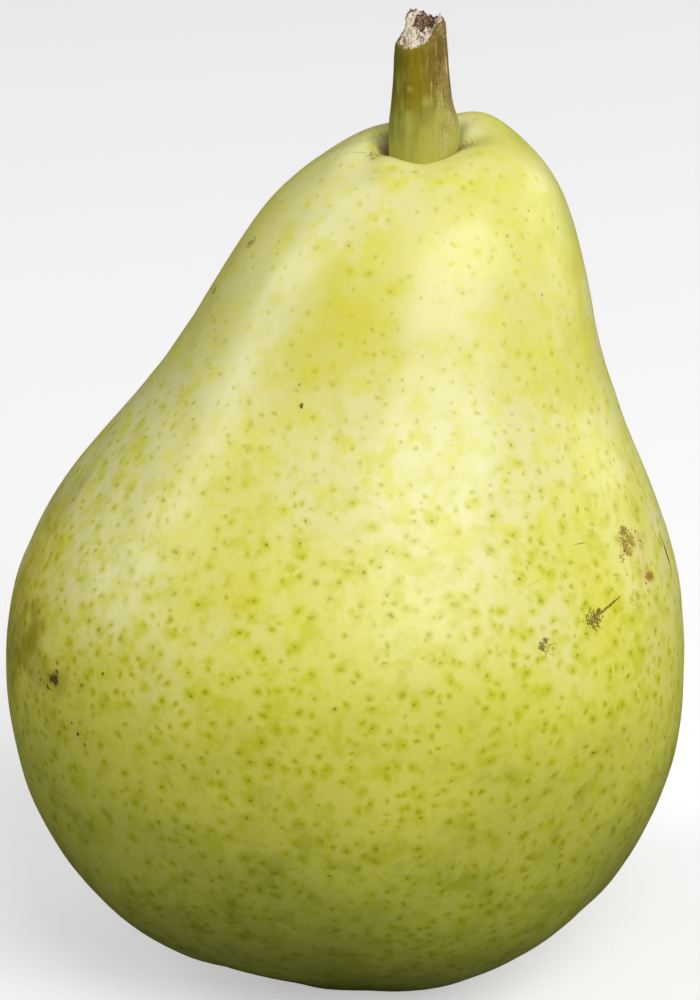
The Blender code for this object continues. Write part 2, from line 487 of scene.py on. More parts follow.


# ---------------- the skin

# Soft patches of colour: (colour setting, centre in mm, radius in mm, strength). The whitish ones are partly
# painted light, and the darker ones on the left and round the stem are partly painted shade.
PATCHES = (
    ("yellow", (-1.5, -16.6, 71.0), 9.0, 0.55),
    ("yellow", (2.5, -15.2, 75.5), 9.0, 0.50),
    ("yellow", (-4.5, -17.6, 66.5), 6.5, 0.40),
    # Whitish skin with a painted highlight on the left of the neck.
    ("bloom_and_painted_light", (-6.0, -12.0, 75.2), 6.0, 0.35),
    ("yellow", (-11.2, -27.7, 49.7), 5.0, 0.45),
    ("yellow", (27.0, -19.0, 47.0), 9.0, 0.45),
    ("yellow", (-32.5, -9.0, 42.0), 16.0, 0.75),
    ("yellow", (29.0, -11.0, 52.0), 6.5, 0.45),
    ("yellow", (21.5, -6.0, 66.0), 8.0, 0.50),
    ("yellow", (22.6, -3.2, 77.0), 8.0, 0.70),
    ("edge_green", (22.5, -2.0, 79.0), 8.0, 0.70),
    ("edge_green", (15.5, 4.5, 87.0), 5.0, 0.60),
    ("edge_green", (20.0, 3.0, 66.0), 14.0, 0.40),
    ("tan", (28.6, -13.6, 48.0), 5.0, 0.50),
    ("tan", (29.8, -13.2, 46.4), 1.8, 0.60),
    ("tan", (27.7, -14.2, 50.0), 1.8, 0.60),
    # Darker skin on the left: real discolouring round the scars, and painted shade that darkens the left
    # side, away from the key light.
    ("stain_and_painted_shade", (-33.8, -7.5, 38.5), 9.0, 0.55),
    ("stain_and_painted_shade", (-33.4, -10.8, 38.0), 4.5, 0.70),
    ("stain_and_painted_shade", (-31.6, -13.8, 39.6), 4.0, 0.75),
    ("stain_and_painted_shade", (-30.8, -16.4, 37.0), 4.2, 0.55),
    ("stain_and_painted_shade", (-28.5, -20.1, 36.9), 1.9, 0.50),
    ("stain_and_painted_shade", (-30.0, -4.0, 52.0), 6.0, 0.35),
    # Whitish skin, and painted light: these brighten the shaded walls of the stem's socket and paint a broad
    # highlight on the neck.
    ("bloom_and_painted_light", (12.0, 2.5, 87.0), 4.6, 0.90),
    ("bloom_and_painted_light", (27.0, -15.0, 45.5), 5.0, 0.25),
    ("bloom_and_painted_light", (12.0, -12.5, 78.5), 6.5, 0.35),
    ("bloom_and_painted_light", (12.0, -18.5, 63.0), 7.0, 0.25),
    ("bloom_and_painted_light", (-1.6, -5.8, 83.5), 5.5, 0.60),
    ("bloom_and_painted_light", (-0.3, -0.9, 86.2), 3.5, 0.60),
    ("bloom_and_painted_light", (10.8, -1.2, 86.0), 3.2, 0.85),
    ("ripe", (20.9, -27.0, 27.7), 9.0, 0.60),
    # Painted shade that darkens the hollow round the foot of the stem.
    ("stain_and_painted_shade", (3.9, 3.4, 85.2), 3.0, 0.95),
    ("stain_and_painted_shade", (3.0, -3.4, 86.2), 1.8, 0.30),
)
# Corky scars under their colour setting: (centre in mm, radius in mm, how solid it is, how speckled it is).
# Those that aren't speckled leave the last number out.
SCARS = {
    "scar": (
        ((-28.9, -19.5, 37.5), 0.85, 1.00),
        ((-29.2, -19.0, 37.4), 0.55, 1.00),
        ((-28.7, -19.5, 38.3), 0.40, 0.90),
        ((-28.6, -19.4, 39.1), 0.22, 0.80),
        ((-29.7, -18.5, 36.3), 0.30, 0.95),
        ((-29.4, -18.9, 37.0), 1.2, 0.0, 0.35),
        ((-30.5, -17.3, 36.7), 0.20, 0.85),
        ((-30.6, -17.0, 37.3), 0.16, 0.75),
        ((-30.2, -17.8, 35.3), 0.22, 0.60),
        ((-28.4, -20.5, 34.4), 0.20, 0.60),
        ((-27.1, -22.0, 33.8), 0.22, 0.85),
        ((-26.5, -22.7, 32.9), 0.26, 1.00),
        ((-25.9, -23.5, 32.1), 0.26, 0.75),
        ((-24.0, -24.5, 39.9), 0.22, 0.95),
        ((-9.5, -3.4, 77.7), 0.8, 0.30, 0.80),
        ((-13.2, -1.9, 72.2), 0.6, 0.20, 0.70),
        ((-4.4, -18.8, 65.5), 0.30, 0.95),
        ((11.3, -1.0, 86.4), 1.6, 0.0, 0.60),
        ((1.0, 0.0, 7.4), 3.6, 0.75),
        ((1.0, 0.0, 7.0), 7.0, 0.0, 0.50),
        ((28.7, -11.9, 50.3), 0.22, 0.75),
        ((29.3, -11.7, 49.3), 0.25, 0.65),
        ((-4.6, -17.6, 67.3), 0.20, 0.55),
        ((18.2, -7.6, 82.2), 0.20, 0.60),
        ((21.1, -5.2, 79.7), 0.22, 0.60),
        ((19.2, -10.9, 74.4), 0.20, 0.60),
        ((29.8, -13.7, 45.5), 0.22, 0.90),
        ((30.0, -13.8, 44.8), 0.14, 0.80),
        ((31.2, -11.3, 44.2), 0.20, 0.80),
    ),
    "rust": (
        ((24.1, -22.3, 44.4), 0.50, 0.65, 0.9),
        ((24.5, -21.8, 44.9), 0.60, 0.80, 0.9),
        ((24.9, -21.2, 45.3), 0.45, 0.90, 0.9),
        ((24.3, -22.0, 44.6), 1.4, 0.10, 0.90),
        ((19.1, -26.8, 43.6), 0.50, 0.80, 0.85),
        ((19.5, -26.4, 44.1), 0.45, 0.80, 0.85),
        ((19.7, -26.6, 43.5), 1.0, 0.0, 0.45),
        ((27.6, -13.6, 51.0), 0.75, 0.40, 0.95),
        ((27.4, -14.4, 50.4), 0.9, 0.0, 0.85),
        ((28.3, -13.2, 50.0), 1.1, 0.0, 0.85),
        ((27.8, -14.5, 49.4), 0.85, 0.15, 0.90),
        ((27.2, -15.8, 48.9), 0.60, 0.0, 0.70),
        ((29.2, -11.7, 49.4), 1.2, 0.0, 0.30),
        ((28.6, -16.4, 44.7), 1.2, 0.0, 0.25),
        ((2.9, -2.6, 86.9), 0.9, 0.15, 0.60),
        # Russet in the hollow left of the stem, which also paints shade into the hollow and makes it matt.
        ((3.7, 3.5, 85.3), 2.4, 0.35),
    ),
    "sore": (
        ((30.15, -12.9, 45.95), 0.70, 0.90),
        ((30.35, -12.5, 45.9), 0.75, 1.00),
        ((30.55, -12.1, 45.7), 0.70, 0.90),
        ((27.8, -14.2, 50.1), 1.9, 0.25),
        ((30.1, -12.9, 46.3), 1.3, 0.22),
        ((-26.8, 3.0, 53.7), 2.2, 0.25),
    ),
}
# Scratches: (colour setting, start, end, both in mm, width in mm, strength).
SCRATCHES = (
    ("rust", (24.5, -21.8, 44.8), (27.1, -18.4, 45.8), 0.20, 0.90),
    ("scar", (31.6, -5.8, 48.1), (32.9, -4.9, 43.8), 0.30, 1.00),
    ("scar", (31.9, -5.6, 46.9), (32.7, -5.0, 44.6), 0.42, 0.95),
    ("scar", (31.5, -6.3, 48.7), (31.7, -6.5, 46.4), 0.14, 0.50),
    ("scar", (22.3, -20.0, 51.7), (23.6, -18.9, 51.6), 0.10, 0.60),
    ("rust", (26.1, -18.0, 47.8), (27.0, -17.0, 47.6), 0.09, 0.40),
    ("rust", (0.2, -1.2, 86.5), (2.9, -2.6, 86.9), 0.10, 0.45),
    ("scar", (17.5, -25.2, 49.2), (19.5, -23.9, 49.8), 0.08, 0.25),
    ("scar", (-13.0, -14.5, 70.5), (-11.4, -15.3, 70.2), 0.12, 0.45),
)
# Two sizes of pore: the share of the set spacing, core and ring that each has, and the share of its pores
# that show on the neck and on the belly.
PORES = (
    (1.0, 1.0, 1.0, 0.75, 1.00),
    (0.85, 0.75, 0.85, 0.30, 0.50),
)


def make_skin(settings, fruit):
    """Waxy skin: creamy on the neck and green below, mottled, with pores, patches (some of them painted light
    and shade), scars and scratches.
    """
    material, net, shader, place = new_material("skin")
    height = net.add("ShaderNodeSeparateXYZ", {"Vector": place}).outputs["Z"]
    broad = net.noise(place, 55.0, 2.0)
    mottle = net.noise(place, 330.0, 3.0, 0.65)
    fine = net.noise(place, 2600.0, 2.0, 0.6)

    # Skin: creamy above, deeper in the blotches, and greener and darker towards the foot.
    level = net.plus(height, net.swing(broad, 0.020))
    cream = net.times(net.ramp(broad, 0.36, 0.62, 0.35, 1.0), net.ramp(level, 33.0 * MM, 50.0 * MM))
    base = net.mix(cream, settings.ripe, settings.pale)
    blotches = net.ramp(mottle, 0.46, 0.66, 0.0, 0.8)
    base = net.mix(blotches, base, settings.ripe)
    wobble = net.swing(net.noise(place, 220.0, 3.0, 0.6), 2.2)
    # Patches of colour, among them painted light on the neck and in the socket, and painted shade on the left
    # side and round the stem.
    for tint, centre, radius, strength in PATCHES:
        mask, _ = spot_masks(net, place, fruit, centre, radius, 1.0, wobble)
        base = net.mix(net.times(mask, strength), base, getattr(settings, tint))
    low = net.ramp(level, 43.0 * MM, 7.0 * MM)
    base = net.mix(low, base, settings.green)
    flecks = net.ramp(mottle, 0.50, 0.64, 0.0, 0.55)
    base = net.mix(net.times(low, flecks), base, settings.deep_green)

    # Soft yellow-green blotches that run from pore to pore, most of them low down.
    blotches = net.ramp(net.noise(place, 470.0, 2.0, 0.6), 0.44, 0.72)
    blotches = net.times(blotches, net.ramp(height, 78.0 * MM, 45.0 * MM, 0.15, 0.85))
    base = net.mix(blotches, base, net.mix(1.0, base, settings.blotch, "MULTIPLY"))

    # Pores, with their rings.
    swirl = net.noise(place, 900.0, 1.0, output="Color")
    swirl = net.vector("SCALE", net.vector("SUBTRACT", swirl, (0.5, 0.5, 0.5)), scale=0.8 * MM)
    wavy = net.vector("ADD", place, swirl)
    lower = net.ramp(height, 80.0 * MM, 40.0 * MM)
    pore_scale = net.ramp(lower, 0.0, 1.0, 0.72, 1.05)
    cores, points, rings = 0.0, 0.0, 0.0
    for number, (spacing, core, ring, few, many) in enumerate(PORES):
        pores = net.group(
            shared_group("Pores"),
            Vector=net.vector("ADD", wavy, (0.0, 0.0, 0.31 * number)),
            Spacing=settings.pore_spacing * spacing,
            Core_Radius=net.times(pore_scale, settings.pore_size * core),
            Ring_Radius=net.times(pore_scale, settings.ring_size * ring),
            Share=net.ramp(lower, 0.0, 1.0, few, many),
        )
        cores = net.larger(cores, pores["Core"])
        points = net.larger(points, pores["Point"])
        rings = net.larger(rings, pores["Ring"])
    ring_strength = net.ramp(height, 74.0 * MM, 34.0 * MM, 0.50, 1.0)
    ring_strength = net.times(ring_strength, net.ramp(mottle, 0.30, 0.55, 0.55, 1.0))
    ringed = net.mix(1.0, base, settings.ring, "MULTIPLY")
    base = net.mix(net.times(rings, ring_strength), base, ringed)
    cored = net.mix(1.0, base, settings.pore, "MULTIPLY")
    core_strength = net.ramp(height, 82.0 * MM, 50.0 * MM, 0.60, 0.90)
    base = net.mix(net.times(cores, core_strength), base, cored)
    base = net.mix(net.times(points, 0.70), base, settings.pinpoint)

    # Scars and scratches.
    wobble = net.swing(fine, 1.8)
    grain = net.add("ShaderNodeTexVoronoi", {"Vector": place, "Scale": 4500.0}).outputs["Distance"]
    marks = dict.fromkeys(SCARS, 0.0)
    for tint, scars in SCARS.items():
        for centre, radius, *strengths in scars:
            masks = spot_masks(net, place, fruit, centre, radius, 0.6, wobble, grain)
            for mask, strength in zip(masks, strengths):
                if strength:
                    marks[tint] = net.larger(marks[tint], net.times(mask, strength))
    for tint, start, end, width, strength in SCRATCHES:
        mark = net.group(
            shared_group("Scratch"),
            Vector=place,
            Start=tuple(value * MM for value in start),
            End=tuple(value * MM for value in end),
            Width=width * MM,
            Wobble=net.minus(fine, 0.5),
        )["Mask"]
        marks[tint] = net.larger(marks[tint], net.times(mark, strength))
    for tint, mark in marks.items():
        base = net.mix(mark, base, getattr(settings, tint))

    rough = net.ramp(mottle, 0.3, 0.7, settings.roughness - 0.04, settings.roughness + 0.05)
    marked = net.larger(net.larger(marks["scar"], marks["rust"]), marks["sore"])
    rough = net.plus(rough, net.times(marked, 0.45))
    net.fill(shader, Base_Color=base, Roughness=rough)
    net.fill(shader, Subsurface_Weight=0.1, Subsurface_Radius=(1.0, 0.8, 0.25), Subsurface_Scale=1.5 * MM)
    relief = net.plus(net.noise(place, 420.0, 1.0), net.times(net.noise(place, 2600.0, 1.0), 0.30))
    net.bump(shader, relief, 0.3, 0.06 * MM)
    return material


def spot_masks(net, place, piece, centre, radius, softness, wobble, grain=0.0):
    """Where one patch or scar is, whole and as specks. Its centre is moved to the surface of the piece."""
    surface = bpy.context.evaluated_depsgraph_get()
    _, centre, _, _ = piece.closest_point_on_mesh(Vector(centre) * MM, depsgraph=surface)
    masks = net.group(
        shared_group("Spot"),
        Vector=place,
        Centre=centre,
        Radius=radius * MM,
        Softness=softness,
        Wobble=wobble,
        Grain=grain,
    )
    return masks["Mask"], masks["Specks"]


# ---------------- the fruit

# The fruit's rings from the middle of the calyx hollow to the floor of the stem's socket, each with its
# radius and height in mm.
BODY_RINGS = (
    (0.0, 7.5),
    (3.85, 7.4),
    (6.3, 4.8),
    (7.8, 1.1),
    (9.6, -0.6),
    (13.0, 1.0),
    (19.6, 4.4),
    (27.7, 10.3),
    (31.9, 17.7),
    (34.2, 26.7),
    (34.4, 37.1),
    (32.6, 45.0),
    (28.3, 53.7),
    (23.0, 61.9),
    (19.6, 69.7),
    (16.9, 76.6),
    (13.8, 82.5),
    (8.9, 86.4),
    (5.7, 87.4),
    (4.5, 86.5),
    (3.8, 85.2),
    (3.1, 84.2),
    (0.0, 83.9),
)
BODY_SIDES = 32
PARKED = 3.0  # how far down, in metres, the finished rings wait
# Where the neck ends, and the socket round the stem, where the skin isn't laid on the solid.
NECK_TOP = 88.0 * MM
SOCKET_FLOOR = 80.0 * MM
SOCKET_RADIUS = 6.2 * MM
# Where the flesh is pulled in or out: (place, reach, move) in mm.
FRUIT_DENTS = (
    ((7.3, -5.5, 87.0), 5.0, (0.0, 0.2, -1.25)),
    ((11.5, -3.5, 87.0), 3.5, (0.0, 0.0, -0.3)),
    ((2.8, -3.6, 86.7), 4.5, (0.0, 0.0, -0.90)),
    ((12.8, 4.5, 88.2), 5.5, (0.0, 0.0, 1.4)),
    ((11.2, 1.5, 86.3), 2.8, (0.0, 0.0, 0.7)),
    ((3.8, -0.5, 85.5), 2.2, (0.0, 0.0, -1.3)),
    ((-8.6, -14.8, 3.2), 5.0, (0.15, 0.3, 0.95)),
    ((-10.2, -15.7, 4.0), 3.4, (0.2, 0.3, 0.50)),
    ((-16.0, -18.3, 7.2), 4.5, (-0.15, -0.1, -0.28)),
    ((25.8, -9.7, 10.5), 7.0, (0.25, 0.0, -0.35)),
    ((-5.5, -12.5, 1.6), 4.5, (0.0, 0.1, 0.35)),
    ((-23.0, -17.5, 13.0), 9.0, (-0.3, -0.15, -0.45)),
    ((22.0, -17.5, 11.5), 9.0, (0.3, -0.15, -0.40)),
)


def smooth_step(value, low, high):
    """0 at low, 1 at high, and an S-shaped rise between them."""
    share = min(max((value - low) / (high - low), 0.0), 1.0)
    return share * share * (3.0 - 2.0 * share)


def axis_at(height):
    """Where the middle of the fruit is at a height, measured along X and Y from the upright through 0."""
    lean = smooth_step(height, 40.0 * MM, NECK_TOP)
    foot = 1.0 - smooth_step(height, 0.0, 14.0 * MM)
    return Vector((7.4 * lean + 2.4 * foot, 1.2 * lean, 0.0)) * MM


class PEAR_OT_fruit(bpy.types.Operator):
    """Models the fruit over its solid"""

    bl_idname = "pear.fruit"
    bl_label = "Fruit"

    def execute(self, context):
        rings = len(BODY_RINGS) - 1
        bpy.ops.mesh.primitive_uv_sphere_add(segments=BODY_SIDES, ring_count=rings, radius=1.0)
        fruit = added("pear_skin")
        edit(fruit)
        for number, (radius, height) in enumerate(BODY_RINGS):
            level = -math.cos(math.pi * number / rings)
            size = math.sin(math.pi * number / rings)
            select_points(fruit, lambda place: abs(place.z - level) < NEAR)
            middle = axis_at(height * MM)
            if radius:
                scale(radius * MM / size, radius * MM / size, 1.0)
            # A finished ring waits further down, clear of the ones still to come.
            move_by(middle.x, middle.y, height * MM - level - PARKED)
        select_everything()
        move_by(0.0, 0.0, PARKED)
        done()
        subdivide(fruit, 1)
        follow_solid(fruit)
        edit(fruit)
        for centre, reach, move in FRUIT_DENTS:
            nudge(fruit, Vector(centre) * MM, reach * MM, Vector(move) * MM)
        done()
        subdivide(fruit, 2)
        lump(fruit, 16 * MM, 0.7 * MM)
        lump(fruit, 5 * MM, 0.12 * MM)
        press_on_floor(fruit)
        finish_piece(fruit, "root", make_skin(context.scene.pear_skin, fruit), "skin", "pear_body")
        return {"FINISHED"}


def follow_solid(fruit):
    """Lays the skin on its solid, but not in the socket of the stem, where the flesh rises to the stem."""
    middle = axis_at(NECK_TOP)
    group = fruit.vertex_groups.new(name="skin")
    for point in fruit.data.vertices:
        away = (point.co - middle).to_2d().length
        if point.co.z < SOCKET_FLOOR or away > SOCKET_RADIUS:
            group.add([point.index], 1.0, "REPLACE")
    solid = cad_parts["pear_body"]
    apply(fruit, "SHRINKWRAP", target=solid, wrap_method="NEAREST_SURFACEPOINT", vertex_group=group.name)
    apply(fruit, "SMOOTH", factor=0.5, iterations=3, vertex_group=group.name)


def press_on_floor(fruit):
    """Flattens what sank below the floor."""
    edit(fruit)
    select_points(fruit, lambda place: place.z < 0.0)
    scale(1.0, 1.0, 0.0)
    done()


# ---------------- the stem

# The stem from its foot to its broken end: (radius, height above the foot, shift along X) in mm.
STEM_RINGS = (
    (3.42, 0.0, 0.34),
    (3.58, 1.6, 0.34),
    (3.60, 3.1, 0.36),
    (3.58, 5.3, 0.36),
    (3.44, 6.6, 0.28),
    (3.28, 7.3, 0.22),
    (3.10, 8.2, 0.12),
    (2.94, 9.3, 0.06),
    (2.76, 11.2, 0.00),
    (2.70, 12.6, -0.04),
    (2.62, 14.1, -0.05),
    (2.60, 15.6, -0.03),
)
STEM_SIDES = 24
# The broken end: its rings, how far out it is fully torn, how it tilts about X and Y, and where its pith is.
BREAK_RINGS = 5
BREAK_RING_WIDTH = 0.42 * MM
TORN_RADIUS = 2.4 * MM
BREAK_TILTS = {"X": math.radians(-26.0), "Y": math.radians(13.0)}
PITH_PLACE = Vector((0.4, 1.05, 0.0)) * MM
# The broken end, in mm from its middle: (place, reach, move).
BREAK_DENTS = (
    ((-0.9, 2.1, 0.0), 2.0, (0.10, 0.0, 1.85)),
    ((-1.8, 1.5, 0.0), 1.3, (0.28, 0.0, 0.10)),
    ((-1.2, 1.9, 0.0), 1.0, (0.20, 0.0, 0.45)),
    ((2.3, 0.9, 0.0), 1.1, (0.0, 0.0, 0.30)),
    ((2.5, 0.2, 0.0), 1.3, (0.0, 0.0, 0.65)),
    ((2.1, -1.3, 0.0), 1.5, (0.0, 0.0, 0.95)),
    ((1.2, -2.2, 0.0), 1.1, (0.0, 0.0, 0.40)),
    ((-2.5, -0.2, 0.0), 1.2, (0.25, 0.0, -0.35)),
    ((-2.2, 0.8, 0.0), 1.6, (0.7, 0.0, 0.0)),
    ((-1.6, -2.0, 0.0), 1.2, (0.1, 0.0, -0.15)),
    ((0.6, -2.4, 0.0), 1.0, (0.0, 0.0, -0.25)),
    ((-1.0, -0.9, 0.0), 1.0, (0.0, 0.0, 0.45)),
    ((0.4, 0.95, 0.0), 1.3, (0.0, 0.0, -1.9)),
    ((1.4, -1.0, 0.0), 0.9, (0.0, 0.0, 0.35)),
)

# Pale blotches on the bark: (centre, radius) in mm.
BARK_BLOTCHES = (
    ((5.8, -2.3, 90.2), 0.9),
    ((5.7, -2.3, 88.9), 1.0),
    ((5.6, -2.2, 87.6), 0.9),
    ((5.9, -2.4, 92.7), 0.6),
    ((8.1, -2.6, 91.6), 0.9),
)


def make_bark(settings, stem):
    """Bark: olive on one side, brown on the other, dusty at the foot, corky and dark at the break."""
    material, net, shader, place = new_material("stem_bark")
    along = net.drawn_out(place, 0.07)
    streaks = net.noise(along, 2300.0, 3.0, 0.65)
    bands = net.noise(along, 700.0, 2.0)
    coarse = net.noise(place, 420.0, 3.0, 0.6)
    grit = net.noise(place, 5200.0, 2.0, 0.7)
    parts = net.add("ShaderNodeSeparateXYZ", {"Vector": place}).outputs
    height = net.minus(parts["Z"], STEM_LOW.z)
    middle_x = (STEM_LOW.x + STEM_HIGH.x) / 2
    across = net.plus(parts["X"], net.swing(coarse, 2.0 * MM))
    across = net.minus(across, middle_x)

    # Bark: green on the left, brown on the right, and pale at the foot and in its blotches.
    base = net.mix(net.ramp(bands, 0.35, 0.65, 0.0, 0.45), settings.olive, settings.green)
    base = net.mix(net.ramp(across, -0.6 * MM, -2.6 * MM), base, settings.green)
    brown = net.ramp(net.plus(across, net.times(height, 0.10)), 1.4 * MM, 3.3 * MM)
    base = net.mix(net.times(brown, 0.9), base, settings.brown)
    foot = net.times(net.ramp(height, 11.0 * MM, 3.0 * MM), net.ramp(across, -2.5 * MM, 1.5 * MM, 0.92, 1.0))
    base = net.mix(foot, base, settings.pale)
    blotch = net.drawn_out(place, 0.40)
    pale = net.ramp(net.noise(blotch, 620.0, 2.0, 0.5), 0.50, 0.66, 0.0, 0.60)
    pale = net.times(pale, net.ramp(height, 14.0 * MM, 9.0 * MM))
    base = net.mix(pale, base, settings.pale)
    wobble = net.swing(coarse, 1.6)
    for centre, radius in BARK_BLOTCHES:
        mask, _ = spot_masks(net, place, stem, centre, radius, 1.0, wobble)
        base = net.mix(net.times(mask, 0.75), base, settings.pale)

    # Dust, pale ridges and fine cracks.
    dusty = net.times(net.ramp(across, 0.4 * MM, 2.4 * MM), net.ramp(height, 14.0 * MM, 7.0 * MM, 0.50, 0.85))
    dusty = net.times(dusty, net.ramp(net.noise(place, 900.0, 2.0), 0.40, 0.60, 0.35, 1.0))
    specks = net.ramp(net.plus(grit, net.swing(bands, 0.3)), 0.44, 0.56)
    base = net.mix(net.times(specks, dusty), base, settings.dust)
    ridges = net.times(net.ramp(streaks, 0.54, 0.62), net.ramp(across, 0.2 * MM, 1.2 * MM, 0.0, 0.90))
    ridges = net.times(ridges, net.ramp(height, 8.0 * MM, 12.5 * MM))
    base = net.mix(ridges, base, settings.dust)
    crack = net.ramp(streaks, 0.50, 0.36, 0.0, 0.30)
    crack = net.times(crack, net.ramp(height, 3.0 * MM, 9.0 * MM, 0.25, 1.0))
    base = net.mix(crack, base, settings.crack)

    # The broken end: torn cork, dark threads, more of them towards its rim, and the dark pith.
    torn = net.painted("torn")
    ragged = net.plus(torn, net.swing(streaks, 0.8))
    ragged = net.ramp(net.plus(ragged, net.swing(grit, 1.3)), 0.18, 0.55)
    ragged = net.times(ragged, net.ramp(torn, 0.0, 0.25))
    fibres = net.drawn_out(place, 0.35)
    cork = net.ramp(net.noise(fibres, 2200.0, 3.0, 0.7), 0.36, 0.52)
    cork = net.mix(cork, settings.cork_shade, settings.cork)
    rim = net.painted("rim")
    dark_threads = net.plus(net.noise(fibres, 1500.0, 3.0, 0.7), net.times(rim, 0.30))
    cork = net.mix(net.ramp(dark_threads, 0.62, 0.70, 0.0, 0.85), cork, settings.pith)
    base = net.mix(ragged, base, cork)
    pith = net.painted("pith")
    pith = net.plus(pith, net.swing(net.noise(place, 2400.0, 2.0), 1.4))
    pith = net.times(net.ramp(pith, 0.30, 0.55), ragged)
    base = net.mix(pith, base, net.mix(net.ramp(grit, 0.45, 0.60), settings.pith, settings.cork_shade))
    rough = net.larger(net.ramp(coarse, 0.3, 0.7, 0.45, 0.65), ragged)
    net.fill(shader, Base_Color=base, Roughness=rough, Specular_IOR_Level=0.2)
    relief = net.plus(net.noise(along, 2300.0, 2.0), net.times(net.noise(place, 5200.0, 1.0), 0.4))
    net.bump(shader, relief, 0.6, 0.12 * MM)
    return material


def paint(piece, name, weight):
    """Stores a number for each point, for the material to read."""
    layer = piece.data.attributes.new(name, "FLOAT", "POINT")
    for point, value in zip(piece.data.vertices, layer.data):
        value.value = weight(point.co)


def torn_at(place, centre):
    """How torn the stem is: most in the middle of its broken end, less at the rim, not at its front right."""
    if place.z < centre.z - NEAR:
        return 0.0
    torn = 1.0 if (place - centre).length < TORN_RADIUS else 0.45
    return torn * smooth_step((place.y - centre.y) - (place.x - centre.x), -3.1 * MM, -1.2 * MM)


def rim_at(place, centre):
    """How near a place is to the rim of the broken end, behind or at the far right of its middle."""
    away = place - centre
    if max(away.y, away.x - 2.1 * MM) <= 0.0:
        return 0.0
    return smooth_step(away.to_2d().length, 1.6 * MM, 2.4 * MM)


class PEAR_OT_stem(bpy.types.Operator):
    """Models the stem with its torn end"""

    bl_idname = "pear.stem"
    bl_label = "Stem"

    def execute(self, context):
        foot = axis_at(NECK_TOP)
        foot.z = STEM_LOW.z
        before, low, last = STEM_RINGS[0]
        start = foot + Vector((last * MM, 0.0, 0.0))
        bpy.ops.mesh.primitive_circle_add(
            vertices=STEM_SIDES, radius=before * MM, fill_type="NGON", location=start
        )
        stem = added("stem_bark")
        bpy.ops.object.transform_apply()
        edit(stem)
        select_everything()
        for radius, height, shift in STEM_RINGS[1:]:
            move = ((shift - last) * MM, 0.0, (height - low) * MM)
            bpy.ops.mesh.extrude_region_move(TRANSFORM_OT_translate={"value": move})
            centre = foot + Vector((shift * MM, 0.0, height * MM))
            scale(radius / before, radius / before, 1.0, centre)
            before, low, last = radius, height, shift
        for _ in range(BREAK_RINGS):
            bpy.ops.mesh.inset(thickness=BREAK_RING_WIDTH)
        select_points(stem, lambda place: place.z < foot.z + NEAR)
        bpy.ops.mesh.edge_face_add()
        done()
        paint(stem, "torn", lambda place: torn_at(place, centre))
        edit(stem)
        select_points(stem, lambda place: place.z > centre.z - NEAR)
        for axis, tilt in BREAK_TILTS.items():
            bpy.ops.transform.rotate(value=tilt, orient_axis=axis, center_override=centre)
        select_everything()
        bpy.ops.mesh.normals_make_consistent(inside=False)
        done()
        subdivide(stem, 1)
        edit(stem)
        for place, reach, move in BREAK_DENTS:
            nudge(stem, centre + Vector(place) * MM, reach * MM, Vector(move) * MM)
        done()
        subdivide(stem, 2)
        pith = centre + PITH_PLACE
        paint(stem, "pith", lambda place: smooth_step((place - pith).to_2d().length, 1.6 * MM, 0.4 * MM))
        paint(stem, "rim", lambda place: rim_at(place, centre))
        group = stem.vertex_groups.new(name="torn")
        for point, value in zip(stem.data.vertices, stem.data.attributes["torn"].data):
            group.add([point.index], value.value, "REPLACE")
        lump(stem, 2.4 * MM, 0.22 * MM, stretch=2.0)
        lump(stem, 0.5 * MM, 0.13 * MM, stretch=8.0)
        lump(stem, 0.8 * MM, 1.2 * MM, stretch=3.0, direction="Z", group="torn")
        lump(stem, 0.34 * MM, 1.3 * MM, stretch=6.0, direction="Z", group="torn")
        lump(stem, 0.22 * MM, 0.30 * MM, group="torn")
        finish_piece(stem, "root", make_bark(context.scene.pear_stem, stem), "stem_bark", "stem")
        return {"FINISHED"}


# ---------------- the calyx

SEPAL_NODES = ("sepal_1", "sepal_2", "sepal_3", "sepal_4", "sepal_5")
TUFT_LOW, TUFT_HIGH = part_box("stamen_tuft")
EYE = Vector(((TUFT_LOW.x + TUFT_HIGH.x) / 2, (TUFT_LOW.y + TUFT_HIGH.y) / 2, TUFT_HIGH.z))
SEPAL_LENGTH = 4.6 * MM
SEPAL_WIDTH = 3.0 * MM
SEPAL_RING = 2.5 * MM
SEPAL_CURL = 1.1 * MM
SEPAL_CUP = 0.8 * MM
SEPAL_KEEL = 0.25 * MM
SEPAL_SINK = 0.7 * MM  # how far below the tuft's top the sepals start
# Along a sepal, from its foot to its tip: shares of the full width and of the full curl outwards.
SEPAL_ROWS = (
    (0.90, 0.0),
    (1.0, 0.02),
    (0.98, 0.06),
    (0.90, 0.15),
    (0.76, 0.28),
    (0.58, 0.45),
    (0.38, 0.65),
    (0.20, 0.85),
    (0.06, 1.0),
)
# How each sepal's tip is bent, in mm: outwards, and to its side.
SEPAL_BENDS = ((0.5, 0.3), (-0.5, 0.4), (0.9, -0.5), (-0.2, -0.3), (0.4, 0.6))
# How far each stretch of a stamen's thread is bent outwards, in mm, and how long it is.
STAMEN_BENDS = (0.02, 0.06, 0.13, 0.20, 0.16)
STAMEN_STEP = 0.55 * MM
GOLDEN_ANGLE = math.radians(137.5)


